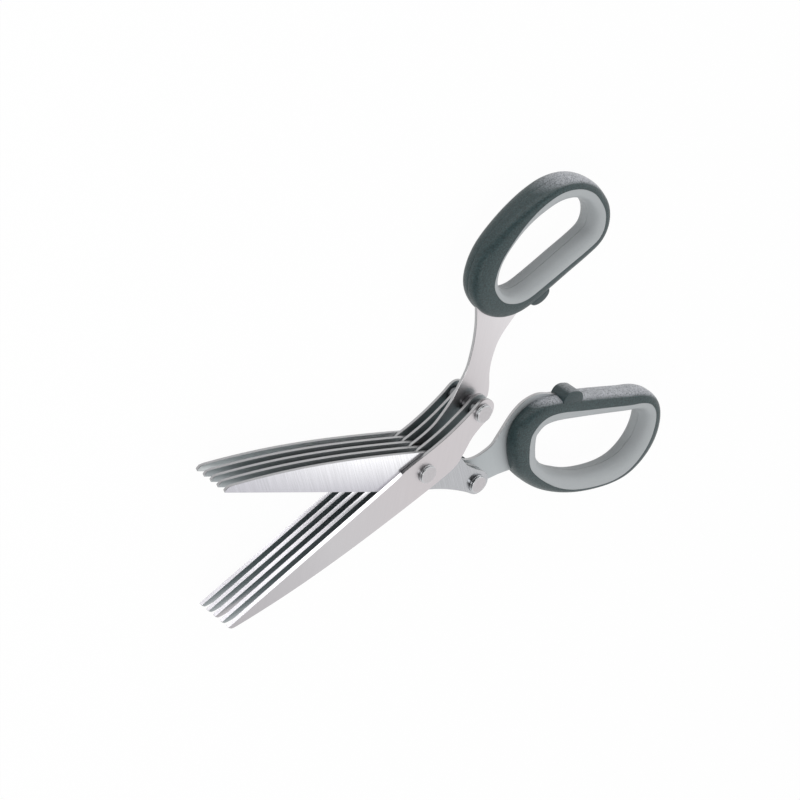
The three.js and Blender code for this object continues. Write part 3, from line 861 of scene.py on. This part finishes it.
def make_half_loop(node, ring, outward, reach, side, material, groove):
    """A moulded shell (side 1) or liner (side -1) in place of its node."""
    low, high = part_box(node)
    middle = (low.z + high.z) / 2
    half_depth = (high.z - low.z) / 2
    heights = section_heights(half_depth)
    points, faces = [], []
    row = len(heights)
    for i, (point, direction) in enumerate(zip(ring, outward)):
        for height in heights:
            share = max(0, 1 - abs(height / half_depth) ** SECTION_POWER) ** (1 / SECTION_POWER)
            dip = groove * max(0, 1 - abs(height) / PARTING_WIDTH)
            place = point + direction * side * (share * reach[i] - dip + SHARED_WALL_GAP / 2)
            points.append((place.x, place.y, middle + height))
        following = (i + 1) % len(ring)
        for j in range(row):
            above = (j + 1) % row
            faces.append((i * row + j, following * row + j, following * row + above, i * row + above))
    piece = new_piece(f"{node}_moulded", points, faces, [material])
    smooth_but_for_corners(piece, SHOULDER_CORNER)
    stand_in_for(piece, node)


for loop in ("upper_handle", "lower_handle"):
    ring = rim_points(f"{loop}_shell")
    outward = outward_of(ring)
    shell_reach = [
        reach - WALL_SPARE for reach in wall_reach(f"{loop}_shell", ring, outward, 1, PROBE_LEVEL)
    ]
    liner_reach = wall_reach(f"{loop}_liner", ring, outward, -1, 0)
    make_half_loop(f"{loop}_shell", ring, outward, shell_reach, 1, shell_plastic, SHELL_PARTING)
    make_half_loop(f"{loop}_liner", ring, outward, liner_reach, -1, liner_plastic, LINER_PARTING)
    ends = (min(shell_reach), max(shell_reach), min(liner_reach), max(liner_reach))
    widths = [round(value / MM, 1) for value in ends]
    print(loop, len(ring), "steps round, shell and liner stand out (mm)", widths)

# %% [markdown]
# Each loop has a small D-shaped pad that meets the other handle's and stops the scissors closing.
# Its outline is read back from the edge of the pad's front face in the frame and drawn again as a
# smooth curve, and its sides run down into the shell. A mould's edge is a little rounded.

# %% Stop pads
PAD_SETBACK = 0.96 * MM
PAD_DEPTH = 6.9 * MM
PAD_CHAMFER = 0.3 * MM
PAD_ROOT = 1.2 * MM
PAD_PIECES = 4
PAD_ROUNDING_STEPS = 3


def pad_outline(shell):
    """The pad's outline, anticlockwise, and the height of its front face."""
    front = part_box(shell)[1].z - PAD_SETBACK
    found = {}
    for vertex in frame["nodes"][shell].data.vertices:
        if abs(front - PAD_CHAMFER - vertex.co.z) < WELD:
            found[(round(vertex.co.x / WELD), round(vertex.co.y / WELD))] = vertex.co.xy.copy()
    edge = list(found.values())
    one, other = max(((a, b) for a in edge for b in edge), key=lambda pair: (pair[0] - pair[1]).length)
    middle = (one + other) / 2
    facing = Vector((one.y - other.y, other.x - one.x)).normalized()
    if facing.dot(sum(edge, Vector((0, 0))) / len(edge) - middle) < 0:
        facing = -facing
    along = Vector((facing.y, -facing.x))
    edge.sort(key=lambda point: math.atan2(facing.dot(point - middle), along.dot(point - middle)))
    root = facing * PAD_ROOT
    loop = [edge[0] - root, *edge, edge[-1] - root]
    pieces = [1] + [PAD_PIECES] * (len(edge) - 1) + [1, 1]
    return smooth_outline(loop, {0, len(loop) - 1}, pieces), front


def make_pad(name, shell):
    """A stop pad that moves with its shell. The moulded loop already replaces the shell's node, so
    the pad replaces nothing."""
    outline, front = pad_outline(shell)
    rear = front - PAD_DEPTH
    levels = []
    for step in range(PAD_ROUNDING_STEPS + 1):
        angle = math.pi / 2 * step / PAD_ROUNDING_STEPS
        ring = inset(outline, [PAD_CHAMFER * (1 - math.sin(angle))] * len(outline))
        levels.append([(*point, rear + PAD_CHAMFER * (1 - math.cos(angle))) for point in ring])
    levels += [[(x, y, rear + front - z) for x, y, z in level] for level in reversed(levels)]
    points, faces, _ = stacked_rings(levels, [])
    piece = new_piece(name, points, faces, [pad_plastic])
    smooth_but_for_corners(piece)
    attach(piece, frame["nodes"][shell]["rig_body"])
    print(name, "is made of", len(faces), "faces")


make_pad("upper_stop_pad", "upper_handle_shell")
make_pad("lower_stop_pad", "lower_handle_shell")

# %% [markdown]
# The studio is a sweep of white paper. A real sweep is lit until it burns out to white, but here that
# much light would fall on the scissors too. So the paper gives the camera its white by itself and
# keeps a trace of the object's shadow, and metal sees the same paper a little less bright.

# %% Floor
FLOOR_RADIUS = 4000 * MM
FLOOR_SIDES = 72
FLOOR_WHITE = 0.72
FLOOR_OWN_LIGHT = 0.97
FLOOR_IN_METAL = 0.8
FIBRE_TONE = 0.01
PAPER_FIBRE = 2 * MM


def paper_floor():
    """White sweep paper: white to the camera with only a trace of shadow, and a little less so in metal."""
    material, tree = new_material("white_sweep_paper")
    rays = add(tree, "LightPath")
    place = add(tree, "TexCoord")
    fibre = add(tree, "TexNoise", {"Scale": 1 / PAPER_FIBRE, "Detail": 3},
                {"Vector": place.outputs["Object"]})
    tone = add(tree, "ValToRGB", links={"Fac": fibre.outputs["Fac"]})
    shade_stops(tone, [(0, FLOOR_WHITE - FIBRE_TONE), (1, FLOOR_WHITE)])
    paper = add(tree, "BsdfDiffuse", links={"Color": tone.outputs["Color"]})
    glow = add(tree, "Emission", {"Color": (1, 1, 1, 1), "Strength": 1.0})
    direct = add(tree, "Math", {"operation": "MULTIPLY", 1: FLOOR_OWN_LIGHT},
                 {0: rays.outputs["Is Camera Ray"]})
    clear = add(tree, "Math", {"operation": "MAXIMUM"},
                {0: rays.outputs["Is Glossy Ray"], 1: rays.outputs["Is Transmission Ray"]})
    mirrored = add(tree, "Math", {"operation": "MULTIPLY", 1: FLOOR_IN_METAL}, {0: clear.outputs["Value"]})
    share = add(tree, "Math", {"operation": "MAXIMUM"},
                {0: direct.outputs["Value"], 1: mirrored.outputs["Value"]})
    mixed = add(tree, "MixShader", links={
        "Fac": share.outputs["Value"], 1: paper.outputs["BSDF"], 2: glow.outputs["Emission"],
    })
    add(tree, "OutputMaterial", links={"Surface": mixed.outputs["Shader"]})
    return material


edge = []
for i in range(FLOOR_SIDES):
    angle = i * (2 * math.pi / FLOOR_SIDES)
    edge.append((FLOOR_RADIUS * math.cos(angle), FLOOR_RADIUS * math.sin(angle), cad_low.z))
floor = new_piece("floor", edge, [tuple(range(FLOOR_SIDES))], [paper_floor()])
print("floor:", round(2 * FLOOR_RADIUS / MM), "mm across")

# %% [markdown]
# The lit half of the room lies beyond the handles, and the dark half behind the photographer.
# Polished metal shows all of it, so the room is painted as one gradient from the unlit side to the
# lit one. Its stops are given by the cosine of the angle to the lit side, so each says how bright
# the room is that way. The camera itself sees plain white there.

# %% Room light
LIT_SIDE = Vector((0.62, -0.6, 0.5)).normalized()
ROOM_STOPS = [(-1.0, 0.15), (0.05, 0.15), (0.5, 1.3), (0.97, 1.05)]

world = bpy.data.worlds.new("studio")
world.use_nodes = True
bpy.context.scene.world = world
tree = world.node_tree
tree.nodes.clear()
rays = add(tree, "LightPath")
place = add(tree, "TexCoord")
towards = add(tree, "VectorMath", {"operation": "DOT_PRODUCT", 1: LIT_SIDE}, {0: place.outputs["Generated"]})
share = add(tree, "MapRange", {"From Min": -1.0, "From Max": 1.0}, {"Value": towards.outputs["Value"]})
room = add(tree, "ValToRGB", links={"Fac": share.outputs["Result"]})
shade_stops(room, [((cosine + 1) / 2, light) for cosine, light in ROOM_STOPS])
room_light = add(tree, "Background", {"Strength": 1.0}, {"Color": room.outputs["Color"]})
white = add(tree, "Background", {"Color": (1, 1, 1, 1), "Strength": 1.0})
shown = add(tree, "MixShader", links={
    "Fac": rays.outputs["Is Camera Ray"], 1: room_light.outputs["Background"], 2: white.outputs["Background"],
})
add(tree, "OutputWorld", links={"Surface": shown.outputs["Shader"]})
bpy.context.scene.view_settings.view_transform = "Standard"
print("room light, by the cosine to the lit side:", ROOM_STOPS)

# %% [markdown]
# One long low soft box stands at the far side. It draws the white of the cutting bevels and the
# shine on top of the handles. A large dim fill on the photographer's side opens the shadows inside
# the loops, and is so broad and far that it isn't meant to be mirrored. A small soft box above puts
# a light on the rounded shoulders and the rims of the rivets. All stay hidden from the camera.

# %% Key, fill and top light
KEY_PLACE = Vector((250, 1150, 205)) * MM
KEY_WIDTH = 2400 * MM
KEY_HEIGHT = 400 * MM
KEY_RADIANCE = 2.6
FILL_PLACE = Vector((-900, 100, 700)) * MM
FILL_SIZE = 1200 * MM
FILL_RADIANCE = 1.4
TOP_PLACE = Vector((-570, 120, 700)) * MM
TOP_SIZE = 350 * MM
TOP_RADIANCE = 3


def soft_box(name, place, width, height, radiance, mirrored):
    """A rectangular lamp at place that faces the scissors. A lamp's watts spread over its area and pi."""
    lamp = bpy.data.lights.new(name, "AREA")
    lamp.shape = "RECTANGLE"
    lamp.size, lamp.size_y = width, height
    lamp.energy = radiance * math.pi * width * height
    holder = bpy.data.objects.new(name, lamp)
    holder.location = place
    holder.rotation_euler = (CAMERA_AIM - place).to_track_quat("-Z", "Y").to_euler()
    holder.visible_camera = False
    holder.visible_glossy = mirrored
    bpy.context.scene.collection.objects.link(holder)
    print(name, round(lamp.energy, 1), "watts")


soft_box("key_light", KEY_PLACE, KEY_WIDTH, KEY_HEIGHT, KEY_RADIANCE, True)
soft_box("fill_light", FILL_PLACE, FILL_SIZE, FILL_SIZE, FILL_RADIANCE, False)
soft_box("top_light", TOP_PLACE, TOP_SIZE, TOP_SIZE, TOP_RADIANCE, True)
